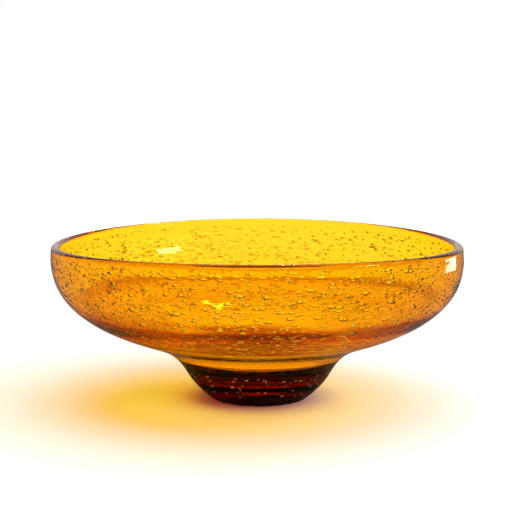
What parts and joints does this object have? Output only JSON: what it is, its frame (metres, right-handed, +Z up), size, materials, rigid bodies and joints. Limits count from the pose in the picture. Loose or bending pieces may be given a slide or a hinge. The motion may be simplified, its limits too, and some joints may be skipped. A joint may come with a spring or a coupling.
{
  "type": "footed glass bowl",
  "caption": "Wide shallow blown-glass bowl in amber bubble glass, with rounded sides, a fire-polished lip and a solid flat-based foot, for display or for holding fruit.",
  "frame": {"origin": "centre of the flat ground base, on the bowl's axis", "axes": "+Z up along the bowl's axis; X and Y lie in the resting plane, and the bowl is round, so neither is special"},
  "size_m": [0.3008, 0.3008, 0.1165],
  "materials": {
    "amber_glass": "clear amber soda glass, fire-polished, slightly wavy",
    "foot_glass": "the same amber glass, reading dark brown because it is solid; ground flat underneath",
    "trapped_air": "bright round surface of an air bubble inside the glass"
  },
  "bodies": {
    "root": {"inner_gather": "amber_glass", "outer_gather": "amber_glass", "foot": "foot_glass", "upper_bubbles": "trapped_air", "belly_bubbles": "trapped_air", "foot_bubbles": "trapped_air"}
  },
  "joints": []
}
